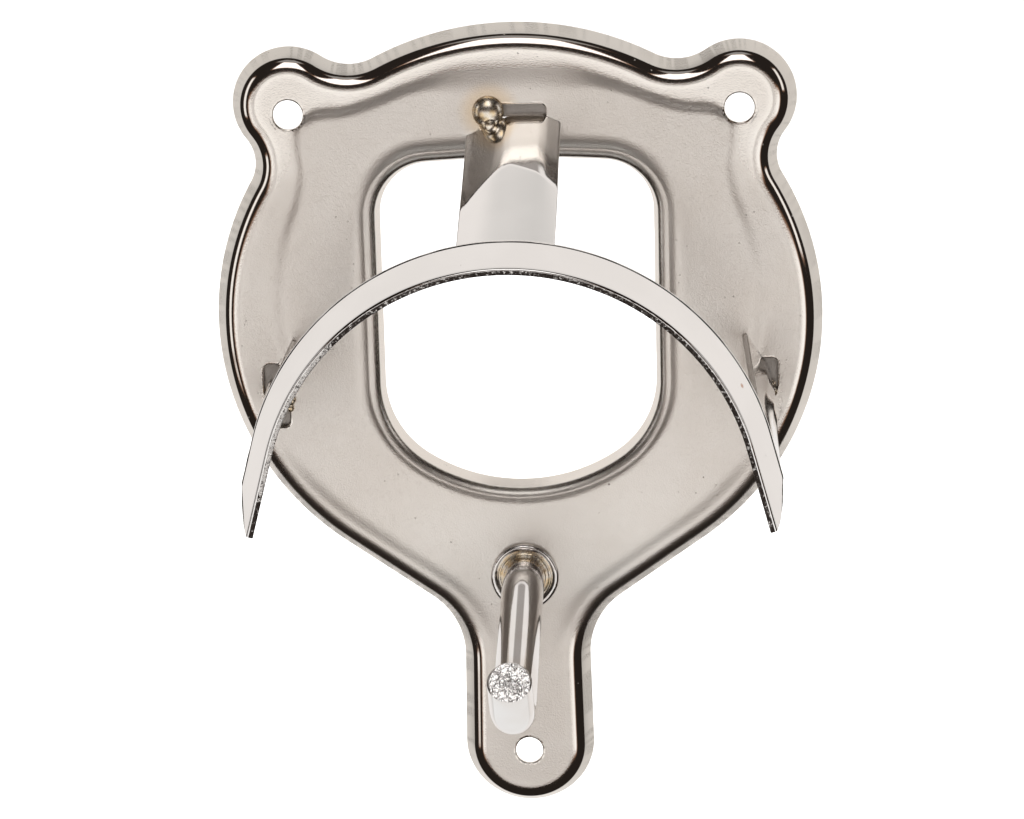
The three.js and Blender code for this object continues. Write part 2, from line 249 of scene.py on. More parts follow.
# ---------------------------------------------------------------- mesh building
class Shell:
    """Points in millimetres and faces with a material index, made into one welded object."""

    def __init__(self):
        self.points, self.faces, self.marks, self.kinds = [], [], [], []
        self.count = 0

    def add(self, points, mark=0.0):
        start = self.count
        self.points.append(np.asarray(points, float))
        self.marks.append(np.broadcast_to(np.asarray(mark, float), len(points)))
        self.count += len(points)
        return start

    def face(self, indices, kind=0):
        self.faces.append(tuple(int(i) for i in indices))
        self.kinds.append(kind)

    def cap(self, start, n, kind=0):
        """One face over the n points of a ring."""
        self.face(range(start, start + n), kind)

    def bridge(self, a, b, n, kind=0):
        """Faces between two rings of n points."""
        for i in range(n):
            j = (i + 1) % n
            self.face((a + i, a + j, b + j, b + i), kind)

    def loft(self, rings, marks=None, kinds=None):
        """A skin over rings. marks are their polish, and kinds the material from each ring to the next."""
        n = len(rings[0])
        starts = [self.add(r, 0 if marks is None else marks[k]) for k, r in enumerate(rings)]
        for k in range(len(starts) - 1):
            self.bridge(starts[k], starts[k + 1], n, 0 if kinds is None else kinds[k])
        return starts

    def build(self, name, materials, smooth_angle):
        mesh = bpy.data.meshes.new(name)
        points = np.vstack(self.points) * MM
        mesh.from_pydata(points.tolist(), [], self.faces)
        mark = mesh.attributes.new("polish", "FLOAT", "POINT")
        mark.data.foreach_set("value", np.concatenate(self.marks).astype(np.float32))
        mesh.polygons.foreach_set("material_index", self.kinds)
        bm = bmesh.new()
        bm.from_mesh(mesh)
        bmesh.ops.remove_doubles(bm, verts=bm.verts, dist=WELD_DISTANCE)
        bmesh.ops.dissolve_degenerate(bm, dist=1e-8, edges=bm.edges)
        bmesh.ops.recalc_face_normals(bm, faces=bm.faces)
        for f in bm.faces:
            f.smooth = True
        limit = math.radians(smooth_angle)
        for e in bm.edges:
            e.smooth = e.is_manifold and e.calc_face_angle(0) < limit
        bm.to_mesh(mesh)
        bm.free()
        return finished(name, mesh, materials)


def finished(name, mesh, materials):
    """A piece from its mesh, riding on the one body."""
    obj = bpy.data.objects.new(name, mesh)
    bpy.context.scene.collection.objects.link(obj)
    for material in materials:
        mesh.materials.append(material)
    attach(obj, BODY)
    return obj


# ---------------------------------------------------------------- materials
class Nodes:
    """A node tree with short calls."""

    def __init__(self, tree):
        self.tree = tree
        tree.nodes.clear()

    def add(self, kind, **settings):
        node = self.tree.nodes.new(kind)
        for key, value in settings.items():
            setattr(node, key, value)
        return node

    def put(self, socket, value):
        if isinstance(value, bpy.types.NodeSocket):
            self.tree.links.new(value, socket)
        else:
            socket.default_value = value

    def math(self, operation, a, b=0.0, c=0.0):
        node = self.add("ShaderNodeMath", operation=operation)
        for socket, value in zip(node.inputs, (a, b, c)):
            self.put(socket, value)
        return node.outputs[0]

    def remap(self, value, from_min, from_max, to_min=0.0, to_max=1.0, kind="SMOOTHSTEP"):
        node = self.add("ShaderNodeMapRange", interpolation_type=kind)
        for socket, v in zip(node.inputs, (value, from_min, from_max, to_min, to_max)):
            self.put(socket, v)
        return node.outputs[0]

    def mix(self, factor, a, b, blend="MIX"):
        node = self.add("ShaderNodeMix", data_type="RGBA", blend_type=blend)
        self.put(node.inputs[0], factor)
        self.put(node.inputs[6], a)
        self.put(node.inputs[7], b)
        return node.outputs[2]

    def noise(self, scale, detail=3.0, rough=0.5, stretch=None, distort=0.0):
        node = self.add("ShaderNodeTexNoise")
        self.put(node.inputs["Vector"], self.place(stretch))
        node.inputs["Scale"].default_value = scale
        node.inputs["Detail"].default_value = detail
        node.inputs["Roughness"].default_value = rough
        node.inputs["Distortion"].default_value = distort
        return node.outputs[0]

    def cells(self, scale):
        node = self.add("ShaderNodeTexVoronoi")
        self.put(node.inputs["Vector"], self.place())
        node.inputs["Scale"].default_value = scale
        return node.outputs["Distance"]

    def place(self, stretch=None):
        at = self.add("ShaderNodeTexCoord").outputs["Object"]
        if stretch is None:
            return at
        node = self.add("ShaderNodeMapping")
        self.put(node.inputs["Vector"], at)
        node.inputs["Scale"].default_value = stretch
        return node.outputs[0]

    def near(self, point, radius, soft):
        """1 within radius of a point in the object, in millimetres, falling to 0 over soft."""
        node = self.add("ShaderNodeVectorMath", operation="DISTANCE")
        self.put(node.inputs[0], self.place())
        node.inputs[1].default_value = [c * MM for c in point]
        return self.remap(node.outputs["Value"], radius * MM, (radius + soft) * MM, 1.0, 0.0)

    def specks(self, scale, size, patches, low, high):
        """1 on specks of a given size and soft edge, in only some patches of the surface."""
        spots = self.remap(self.cells(scale), *size, 1.0, 0.0)
        return self.math("MULTIPLY", spots, self.remap(self.noise(patches, 1), low, high))

    def bump(self, height, strength, distance):
        node = self.add("ShaderNodeBump")
        node.inputs["Strength"].default_value = strength
        node.inputs["Distance"].default_value = distance
        self.put(node.inputs["Height"], height)
        return node.outputs[0]


def metal(name, make):
    """A metal whose shader's sockets are filled from make(nodes)."""
    material = bpy.data.materials.new(name)
    material.use_nodes = True
    nodes = Nodes(material.node_tree)
    shader = nodes.add("ShaderNodeBsdfPrincipled")
    out = nodes.add("ShaderNodeOutputMaterial")
    nodes.tree.links.new(shader.outputs[0], out.inputs[0])
    shader.inputs["Metallic"].default_value = 1.0
    for key, value in make(nodes).items():
        nodes.put(shader.inputs[key], value)
    return material


def satin(n):
    """The plate: satin, burnished where its polish is high, with specks, pits and a tint by the weld."""
    polish = n.add("ShaderNodeAttribute", attribute_name="polish").outputs["Fac"]
    cloud = n.noise(45, 3, 0.55)
    grain = n.noise(2600, 2, 0.6)
    colour = n.mix(n.remap(cloud, 0.35, 0.65), (0.83, 0.775, 0.71, 1), (0.86, 0.81, 0.75, 1))
    colour = n.mix(n.specks(150, (0.028, 0.045), 60, 0.56, 0.60), colour, (0.22, 0.18, 0.15, 1))
    halo = n.near((-5.8, -DEPTH, 94.4), 4.0, 4.5)
    colour = n.mix(n.math("MULTIPLY", halo, 0.55), colour, (0.80, 0.60, 0.36, 1))
    rough = n.math("MULTIPLY_ADD", grain, 0.05, n.remap(polish, 0.0, 1.0, 0.30, 0.05, "LINEAR"))
    height = n.math("MULTIPLY", grain, n.math("SUBTRACT", 1.0, n.math("MULTIPLY", polish, 0.97)))
    height = n.math("MULTIPLY_ADD", n.specks(520, (0.06, 0.11), 140, 0.60, 0.64), 1.5, height)
    return {"Base Color": colour, "Roughness": rough, "Normal": n.bump(height, 0.8, 0.00008)}


def bright(n):
    """The rest: bright plate with fine specks and two rust spots on its band."""
    cloud = n.noise(60, 3, 0.5)
    grain = n.noise(1800, 2, 0.5)
    colour = n.mix(n.remap(cloud, 0.35, 0.65), (0.87, 0.845, 0.82, 1), (0.90, 0.875, 0.85, 1))
    colour = n.mix(n.specks(210, (0.03, 0.05), 80, 0.58, 0.62), colour, (0.30, 0.26, 0.22, 1))
    rust = n.near((-50.5, -58, 40.0), 0.35, 0.6)
    rust = n.math("MAXIMUM", rust, n.near((54.3, -58, 39.0), 0.3, 0.6))
    colour = n.mix(n.math("MULTIPLY", rust, 0.8), colour, (0.42, 0.17, 0.06, 1))
    rough = n.math("MULTIPLY_ADD", grain, 0.05, 0.045)
    return {"Base Color": colour, "Roughness": rough, "Normal": n.bump(grain, 0.12, 0.00003)}


def turned(n):
    """The collar: plated over a rough ring, with a few rust flecks."""
    cloud = n.noise(260, 3, 0.6)
    colour = n.mix(n.remap(cloud, 0.35, 0.65), (0.82, 0.78, 0.74, 1), (0.90, 0.87, 0.84, 1))
    flecks = n.specks(700, (0.10, 0.2), 330, 0.58, 0.62)
    colour = n.mix(n.math("MULTIPLY", flecks, 0.8), colour, (0.45, 0.17, 0.07, 1))
    rough = n.math("MULTIPLY_ADD", cloud, 0.16, 0.12)
    return {"Base Color": colour, "Roughness": rough, "Normal": n.bump(cloud, 0.35, 0.00025)}


def drawn(n):
    """Drawn bar: fine lines along it."""
    streaks = n.noise(900, 2, 0.5, stretch=(1.0, 0.04, 0.04))
    grain = n.noise(1500, 2, 0.5)
    colour = n.mix(n.remap(n.noise(70, 2), 0.35, 0.65), (0.84, 0.80, 0.765, 1), (0.88, 0.86, 0.84, 1))
    rough = n.math("MULTIPLY_ADD", streaks, 0.08, 0.06)
    height = n.math("ADD", streaks, n.math("MULTIPLY", grain, 0.4))
    return {"Base Color": colour, "Roughness": rough, "Normal": n.bump(height, 0.2, 0.00004)}


def sheared(n):
    """The torn edge of the stamping: dark, with striations across it, and a painted highlight that makes it
    brighter on its left arm.
    """
    teeth = n.noise(1400, 3, 0.7, stretch=(1.0, 0.35, 1.0))
    # Painted highlight: near the left arm's front, more of the edge takes the bright colour.
    low = n.math("MULTIPLY_ADD", n.near((-53, -64, 36), 15, 10), -0.24, 0.53)
    bright_teeth_and_painted_highlight = n.remap(n.math("SUBTRACT", teeth, low), 0.0, 0.16)
    colour = n.mix(bright_teeth_and_painted_highlight, (0.055, 0.045, 0.04, 1), (0.88, 0.86, 0.83, 1))
    rough = n.remap(teeth, 0.3, 0.7, 0.45, 0.18)
    return {"Base Color": colour, "Roughness": rough, "Normal": n.bump(teeth, 0.9, 0.0002)}


def sawn(n):
    """The rod's cut end: coarse bright grains."""
    grains = n.noise(900, 2, 0.5, distort=0.6)
    fine = n.noise(2500, 2, 0.6)
    height = n.math("ADD", grains, n.math("MULTIPLY", fine, 0.04))
    colour = n.mix(n.remap(fine, 0.35, 0.65), (0.86, 0.82, 0.79, 1), (0.98, 0.97, 0.96, 1))
    return {"Base Color": colour, "Roughness": n.remap(fine, 0.3, 0.7, 0.30, 0.14),
            "Normal": n.bump(height, 1.0, 0.00030)}


def straw(n):
    """Plated weld metal, with a straw heat tint."""
    cloud = n.noise(420, 3, 0.6)
    colour = n.mix(n.remap(cloud, 0.38, 0.62), (0.84, 0.66, 0.42, 1), (0.94, 0.87, 0.76, 1))
    pits = n.noise(2200, 2, 0.6)
    rough = n.math("MULTIPLY_ADD", pits, 0.16, 0.20)
    return {"Base Color": colour, "Roughness": rough, "Normal": n.bump(pits, 0.06, 0.00003)}


def rough_with_painted_shade(n):
    """The tongues' ends behind the sheet: rough plate, with a darker colour that is painted shade for the
    shadow behind the slots.
    """
    cloud = n.noise(300, 3, 0.6)
    colour = n.mix(n.remap(cloud, 0.35, 0.65), (0.46, 0.42, 0.385, 1), (0.56, 0.52, 0.48, 1))
    return {"Base Color": colour, "Roughness": n.remap(cloud, 0.3, 0.7, 0.42, 0.55),
            "Normal": n.bump(n.noise(1500, 2, 0.6), 0.5, 0.00008)}


SATIN = metal("satin_nickel_pressed", satin)
BRIGHT = metal("bright_nickel_strip", bright)
DRAWN = metal("bright_nickel_bar", drawn)
TURNED = metal("bright_nickel_ring", turned)
SHEARED = metal("sheared_edge", sheared)
SAWN = metal("sawn_end", sawn)
STRAW = metal("weld_straw", straw)
ROUGH_PAINTED_SHADE = metal("rough_nickel_painted_shade", rough_with_painted_shade)


# ---------------------------------------------------------------- backplate
def pressed_section(flare, rise, radius, angle, thickness=0.0, steps=14):
    """(inset, y) pairs from the wall to the flat face."""
    centre = flare + radius * math.sin(angle), radius * math.cos(angle) - rise
    inner = radius - thickness
    turns = angle * (1 - np.arange(steps + 1) / steps)
    curve = [(centre[0] - inner * math.sin(t), centre[1] - inner * math.cos(t)) for t in turns]
    return [(thickness / math.sin(angle), 0.0), *curve]


edge = symmetric_outline(PLATE_TOP, PLATE_EDGE)
opening = symmetric_outline(OPENING_TOP, OPENING_EDGE)
panel_half = catmull(PANEL_EDGE)
panel = np.vstack([panel_half, (panel_half[1:-1] * [-1, 1])[::-1]])
LIP_RISE = DEPTH - LIP_RADIUS * (1 - math.cos(LIP_ANGLE))
LIP = (LIP_RISE / math.tan(LIP_ANGLE), LIP_RISE, LIP_RADIUS, LIP_ANGLE)
RIM = (RIM_FLARE, RIM_RISE, SHOULDER, RIM_ANGLE)
face_edge = ring(edge, pressed_section(*RIM)[-1][0], 0)[:, [0, 2]]
mouth_edge = ring(opening, -pressed_section(*LIP)[-1][0], 0)[:, [0, 2]]


def depth_within(xz):
    """How far each point lies inside the raised middle's edge, negative outside it."""
    return distance_to(xz, panel) * np.where(inside(xz, panel), 1, -1)


def relief(xz):
    """How far back the plate's face lies from its raised middle, in mm."""
    signed = depth_within(xz)
    x, z = np.abs(xz[:, 0]), xz[:, 1]
    # The step is sharp beside the ears and soft across the crown and down the cheeks.
    crown = smooth((26 - x) / 16) * smooth((z - 80) / 10)
    cheek = smooth((72 - z) / 14)
    half = 1.2 + 2.9 * crown + 1.1 * cheek
    fade = smooth((z - 20) / 14)
    step = PANEL_STEP * smooth((half - signed) / (2 * half)) * fade
    wave = 0.022 * (np.sin(xz[:, 0] / 6.1 + 0.8) * np.sin(xz[:, 1] / 7.3 + 0.4)
                    + 0.6 * np.sin(xz[:, 0] / 3.7 - xz[:, 1] / 4.9))
    # The sheet rolls over towards the opening, from further away along its top.
    reach = 1.6 + 1.6 * smooth((z - 8) / 20) + 1.0 * smooth((z - 66) / 16)
    away = distance_to(xz, mouth_edge)
    roll = OPENING_ROLL * np.clip(1 - away / reach, 0, 1) ** 2 * (0.35 + 0.65 * smooth((z - 6) / 20))
    # And over the edge of the lower cheeks.
    away = distance_to(xz, face_edge)
    lower = smooth((16 - z) / 18) * smooth((z + 48) / 12)
    roll += CHEEK_ROLL * smooth(1 - away / 4.2) * lower
    # The sheet is drawn in round the top slot.
    dent = 0.20 * np.exp(-(((xz[:, 0] - 3) / 11) ** 2) - ((xz[:, 1] - 97) / 6.5) ** 2)
    return step + wave + roll + dent + FACE_INSET


def loop_of(kind, centre, size, offset):
    """A hole's outline grown by offset: a circle, or a slot with rounded corners."""
    cx, cz = centre
    if kind == "round":
        a = np.arange(64) / 64 * 2 * math.pi
        return np.column_stack([cx + (size + offset) * np.cos(a), cz + (size + offset) * np.sin(a)])
    w, h = size
    points = []
    for sx, sz, start in ((1, 1, 0), (-1, 1, 90), (-1, -1, 180), (1, -1, 270)):
        for a in np.radians(start + np.linspace(0, 90, 9)):
            points.append((cx + sx * (w / 2 - SLOT_CORNER) + (SLOT_CORNER + offset) * math.cos(a),
                           cz + sz * (h / 2 - SLOT_CORNER) + (SLOT_CORNER + offset) * math.sin(a)))
    dense = []
    for p, q in zip(points, points[1:] + points[:1]):
        steps = round(math.dist(p, q)) if math.dist(p, q) > 1.4 else 1
        dense += [tuple(np.array(p) + (np.array(q) - p) * t / steps) for t in range(steps)]
    return np.array(dense)


def polish_of_rim(xz, slope):
    """How burnished the rim is: on the shoulders of the head, the cheeks and the stem."""
    z = xz[:, 1]
    upper, stem = smooth((z - 2) / 18), smooth((-z - 34) / 10)
    return (0.15 + 0.85 * np.maximum(upper, stem)) * smooth(slope * 3)


def polish_of_face(xz):
    """The face is satin, a little brighter outside its raised middle on the head."""
    high = smooth((xz[:, 1] - 70) / 22)
    near_edge = smooth(1 - distance_to(xz, face_edge) / 2.2)
    return 0.40 * high * smooth(-depth_within(xz) / 3) + 0.30 * near_edge * (0.3 + 0.7 * high)


def laid(xz, y):
    """Points on the plate's face: x and z with the depth y between them."""
    return np.column_stack([xz[:, 0], y, xz[:, 1]])


def fill_face(shell, outer, inner_loops, level):
    """Triangles over the flat between an outer outline and the loops inside it, at a depth level."""
    def between(points):
        keep = inside(points, outer)
        for loop in inner_loops:
            keep &= ~inside(points, loop)
        return keep

    lo, hi = np.floor(plate_lo - 0.5), np.ceil(plate_hi + 0.5)
    xs = np.arange(lo[0], hi[0], GRID_STEP)
    zs = np.arange(lo[2], hi[2], GRID_STEP * 0.866)
    grid = np.array([(x + (GRID_STEP / 2 if r % 2 else 0), z) for r, z in enumerate(zs) for x in xs])
    grid = grid[between(grid)]
    clear = np.min([distance_to(grid, loop) for loop in (outer, *inner_loops)], axis=0)
    grid = grid[clear > GRID_GAP]
    points, edges = [], []
    for loop in (outer, *inner_loops):
        n, start = len(loop), len(points)
        points += loop.tolist()
        edges += [(start + i, start + (i + 1) % n) for i in range(n)]
    points += grid.tolist()
    made, _, tris, *_ = geometry.delaunay_2d_cdt([Vector(p) for p in points], edges, [], 0, 1e-6)
    made = np.array([tuple(v) for v in made])
    tris = np.array(tris)
    start = shell.add(laid(made, level + relief(made)), polish_of_face(made))
    for t in tris[between(made[tris].mean(1))]:
        shell.face(start + t)


def plate_side(shell, holes, rim, mouth, thickness):
    """One face of the sheet, with its two rims, from the wall to the flat and across it."""
    level = -DEPTH + thickness
    loops = []
    for rows, sign, section, margins in (
        (edge, 1, rim, (0.4, 0.85, 1.4, 2.1, 2.9)),
        (opening, -1, mouth, (0.4, 0.85, 1.4, 2.1)),
    ):
        flat_inset = section[-1][0]
        drop = relief(ring(rows, sign * flat_inset, 0)[:, [0, 2]])
        rings, marks = [], []
        for k, (inset, y) in enumerate(section):
            made = ring(rows, sign * inset, y + drop * min(1.0, -y / (DEPTH - thickness)))
            rings.append(made)
            slope = 1 - (k - 1) / (len(section) - 2) if k else 1.0
            if sign > 0:
                marks.append(polish_of_rim(made[:, [0, 2]], slope))
            else:
                marks.append(0.45 * smooth(slope * 2 - 0.5))
        for margin in margins:
            xz = ring(rows, sign * (flat_inset + margin), 0)[:, [0, 2]]
            rings.append(laid(xz, level + relief(xz)))
            marks.append(polish_of_face(xz))
        shell.loft(rings, marks)
        loops.append(rings[-1][:, [0, 2]])
    for hole in holes:
        rings = []
        for margin in (0, 0.35, 0.75):
            loop = loop_of(*hole, HOLE_BEVEL + margin)
            rings.append(laid(loop, level + relief(loop)))
        shell.loft(rings, [polish_of_face(loop)] * 3)
        loops.append(loop)
    fill_face(shell, loops[0], loops[1:], level)


def build_backplate():
    shell = Shell()
    rim, hollow = pressed_section(*RIM), pressed_section(*RIM, SHEET)
    mouth, boss = pressed_section(*LIP), pressed_section(*LIP, SHEET)
    holes = [
        ("round", (-EAR_HOLE[0], EAR_HOLE[1]), EAR_HOLE[2]),
        ("round", EAR_HOLE[:2], EAR_HOLE[2]),
        ("round", STEM_HOLE[:2], STEM_HOLE[2]),
        ("round", (0, ROD_HEIGHT), ROD_RADIUS + ROD_GAP),
        ("slot", TOP_SLOT, (SLOT_LONG, SLOT_SHORT)),
        ("slot", (-SIDE_SLOT[0], SIDE_SLOT[1]), (SLOT_SHORT, SLOT_LONG)),
        ("slot", SIDE_SLOT, (SLOT_SHORT, SLOT_LONG)),
    ]
    plate_side(shell, holes, rim, mouth, 0.0)
    plate_side(shell, holes, hollow, boss, SHEET)
    # The sheet's edge on the wall, round the rim and round the opening.
    for rows, sign, outer, inner in ((edge, 1, rim, hollow), (opening, -1, mouth, boss)):
        shell.loft([ring(rows, sign * outer[0][0], 0), ring(rows, sign * inner[0][0], 0)], [0.6, 0.6])
    # The walls of the holes, with a rounded edge at both faces.
    bevel = [(HOLE_BEVEL * (1 - math.sin(a)), HOLE_BEVEL * (1 - math.cos(a)))
             for a in np.radians(np.linspace(0, 90, 6))]
    for hole in holes:
        lift = relief(loop_of(*hole, HOLE_BEVEL))
        rings = [laid(loop_of(*hole, off), -DEPTH + lift + down) for off, down in bevel]
        rings += [laid(loop_of(*hole, off), -DEPTH + SHEET + lift - down) for off, down in bevel[::-1]]
        shell.loft(rings, [0.8] * len(rings))
    obj = shell.build("plate_pressing", [SATIN], smooth_angle=50)
    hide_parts("backplate")


# ---------------------------------------------------------------- crown rest
def arch_path(outset):
    """Rows along the arch from its left tip to its right tip, moved out by outset."""
    moves = [("bend", ARCH_RADIUS + outset, ARCH_SWEEP), ("run", LEG_LENGTH)]
    right, _ = trace(0, ARCH_CENTRE + ARCH_RADIUS + outset, 0, moves)
    return np.vstack([mirrored(right[1:])[::-1], right])


def lengths_along(path):
    return np.concatenate([[0], np.cumsum(np.hypot(*np.diff(path[:, :2], axis=0).T))])


def rows_at(path, at):
    """The path's rows at the given lengths along it."""
    along = lengths_along(path)
    return np.column_stack([np.interp(at, along, path[:, k]) for k in range(4)])


def strip_loop(width_steps, corner, thickness, turned_edge=(), crowd=1.0):
    """A strip's section with rounded corners, as (where, across, down) points, down in mm.

    where is a at the first edge and b at the last, with across in mm from that edge, n near the last
    edge, and m between them, with across from 0 to 1.
    """
    arc = [(corner * (1 - math.sin(a)), corner * (1 - math.cos(a)))
           for a in np.radians(np.linspace(0, 90, 5))]
    flat = list(1 - (1 - np.linspace(0, 1, width_steps + 1)[1:-1]) ** crowd)
    loop = [("a", x, d) for x, d in arc[::-1]]
    loop += [("m", f, 0.0) for f in flat]
    loop += [("n", e, 0.0) for e in turned_edge]
    loop += [("b", x, d) for x, d in arc]
    loop += [("b", x, thickness - d) for x, d in arc[::-1]]
    loop += [("m", f, thickness) for f in flat[::-1]]
    loop += [("a", x, thickness - d) for x, d in arc]
    return loop


def share_across(where, across, width):
    """Where a point of a strip's section lies across the strip, from 0 to 1."""
    if where == "m":
        return across
    return across / width if where == "a" else 1 - across / width


def build_band():
    """The arched band. Its front edge is torn, its back edge turns out, and its tips are cut round."""
    shell = Shell()
    strip_width = math.hypot(ARCH_BACK - ARCH_FRONT, ARCH_FLARE)
    loop = strip_loop(BAND_COLUMNS, BAND_CORNER, REST_SHEET, turned_edge=(0.8, 0.6), crowd=1.7)
    tear, burr, fine = Ripple(100, 0.55), Ripple(300, 3.0), Ripple(500, 0.3)
    s = np.linspace(0, lengths_along(arch_path(0))[-1], BAND_STATIONS)
    turned_out = BURR + 0.04 * burr(s)
    columns, torn = [], []
    for where, across, down in loop:
        back = share_across(where, across, strip_width)
        path = arch_path(ARCH_FLARE * back)
        trim = TIP_TAPER * (1 - (1 - back**TIP_CURVE) ** (1 / TIP_CURVE))
        line = rows_at(path, np.linspace(trim, lengths_along(path)[-1] - trim, BAND_STATIONS))
        torn.append(where == "a" and down > 0.3)
        roughness = (0.05 * tear(s) + 0.03 * fine(s + down)) if torn[-1] else np.zeros(BAND_STATIONS)
        if where == "b" and down < 0.8:
            lip = turned_out
        elif where == "n":
            lip = turned_out * smooth((1.0 - across) / 0.5)
        else:
            lip = np.zeros(BAND_STATIONS)
        y = ARCH_FRONT + (ARCH_BACK - ARCH_FRONT) * back + np.abs(roughness)
        columns.append(laid(line[:, :2] - line[:, 2:] * (down - lip)[:, None], y))
    m = len(loop)
    start = shell.add(np.array(columns).transpose(1, 0, 2).reshape(-1, 3), 1.0)
    for j in range(BAND_STATIONS - 1):
        a, b = start + j * m, start + (j + 1) * m
        for i in range(m):
            k = (i + 1) % m
            shell.face((a + i, a + k, b + k, b + i), 1 if torn[i] and torn[k] else 0)
    shell.face(reversed(range(start, start + m)), 1)
    shell.cap(start + (BAND_STATIONS - 1) * m, m, 1)
    obj = shell.build("crown_band", [BRIGHT, SHEARED], smooth_angle=46)
    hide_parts("crown_rest")


def laid_from(first, last):
    """A strip's width, its direction across and its outward normal, from its two edges."""
    width = math.dist(first, last)
    along = (np.array(last) - first) / width
    return width, along, np.array([-along[1], along[0]])


def add_tongue(shell, stations):
    """The tongue through the slot. stations are its depth and its two edges: (y, x, z, x, z)."""
    loop = strip_loop(6, 0.25, REST_SHEET - 4 * SKIN)
    rings = []
    for y, *edges in catmull(stations, 5):
        first = np.array(edges[:2])
        width, along, normal = laid_from(first, edges[2:])
        points = []
        for where, across, down in loop:
            share = share_across(where, across, width)
            x, z = first + along * share * width - normal * (SKIN + 0.02 + down)
            points.append((x, y, z))
        rings.append(points)
    starts = shell.loft(rings)
    shell.cap(starts[0], len(loop), 0)
    shell.cap(starts[-1], len(loop), 1)


def add_pad(shell, cx, cz, half_x, half_z):
    """The tongue's end behind the sheet, hammered flat."""
    turn = np.linspace(0, 2 * math.pi, PAD_SIDES, endpoint=False)
    x, z = (np.sign(f) * np.abs(f) ** 0.5 for f in (np.cos(turn), np.sin(turn)))
    front = np.full(PAD_SIDES, -DEPTH + SHEET + 0.7)
    rings = [np.column_stack([cx + x * half_x * size, front + depth, cz + z * half_z * size])
             for size, depth in PAD_PROFILE]
    # The pad takes material 2, the rough plate whose darker colour is painted shade behind its slot.
    starts = shell.loft(rings, kinds=[2] * len(rings))
    shell.cap(starts[0], PAD_SIDES, 2)
    shell.cap(starts[-1], PAD_SIDES, 2)


def build_tab(name, start, end, first, last, tongue, pad, bulge, flip=False):
    """A tab, its tongue and its pad. It runs first to last on the plate, and start to end in the band."""
    shell = Shell()
    first = np.array(first)
    width, along, normal = laid_from(first, last)
    loop = strip_loop(TAB_COLUMNS, 0.3, REST_SHEET - 2 * SKIN)
    places = [(share_across(where, across, width), down) for where, across, down in loop]

    def on_band(outset):
        path = arch_path(outset)
        middle = lengths_along(path)[-1] / 2
        return rows_at(path, [middle + start + (end - start) * u for u, _ in places])

    shoulder_y = -DEPTH - 0.12
    back = on_band(ARCH_FLARE)
    rings = []
    for v in np.linspace(0, 1, TAB_ROWS + 1):
        points = []
        for (u, down), at_back in zip(places, back):
            row = np.array([*(first + along * width * u), *normal]) * (1 - v) + at_back * v
            row[2:] /= np.hypot(*row[2:])
            x, z = row[:2] - row[2:] * (SKIN + down - bulge(u, v))
            points.append((x, shoulder_y + (ARCH_BACK - shoulder_y) * v, z))
        rings.append(points)
    root, downs = on_band(ARCH_FLARE * TAB_ROOT), np.array([down for _, down in places])
    root_y = ARCH_FRONT + (ARCH_BACK - ARCH_FRONT) * TAB_ROOT
    rings.append(laid(root[:, :2] - root[:, 2:] * (SKIN + downs)[:, None], np.full(len(root), root_y)))
    starts = shell.loft(rings)
    shell.cap(starts[0], len(loop), 1)
    shell.cap(starts[-1], len(loop), 0)
    add_tongue(shell, tongue)
    add_pad(shell, *pad)
    if flip:
        shell.points = [p * np.array([-1, 1, 1]) for p in shell.points]
    obj = shell.build(name, [BRIGHT, SHEARED, ROUGH_PAINTED_SHADE], smooth_angle=35)
    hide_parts("crown_rest")


def top_tab_bulge(u, v):
    """How far the top tab stands off flat, in mm: u is across it, v goes from the plate to the band."""
    # The tongue pulls the middle up into its slot, and both shoulders stay down on the plate.
    roof = np.interp(u, (0, 0.06, 0.34, 0.42, 0.50, 0.78, 0.86, 1), (-2.9, -2.4, 0.9, 1.55, 1.8, 1.8, 1.4, 0))
    # Below the roof it is creased, lower in its middle than at its edges.
    crease = 0.48 + 0.24 * max(0.0, 1 - 2 * u) ** 1.2 + 0.15 * max(0.0, 2 * u - 1) ** 1.2
    belly = 3.4 * crease * min(v / crease, (1 - v) / (1 - crease))
    return roof * min(1.0, (1 - v) / (1 - crease)) + belly


def side_tab_bulge(u, v):
    """The side tabs bulge outwards, most of all where their tongues go through the plate."""
    roof = np.interp(u, (0, 0.14, 0.28, 0.36, 0.60, 0.80, 1), (0, 0.7, 1.5, 2.1, 2.3, 1.5, 0))
    return roof * (1 - smooth(v / 0.9)) + 0.35 * math.sin(math.pi * v) * (1 - (2 * u - 1) ** 2)


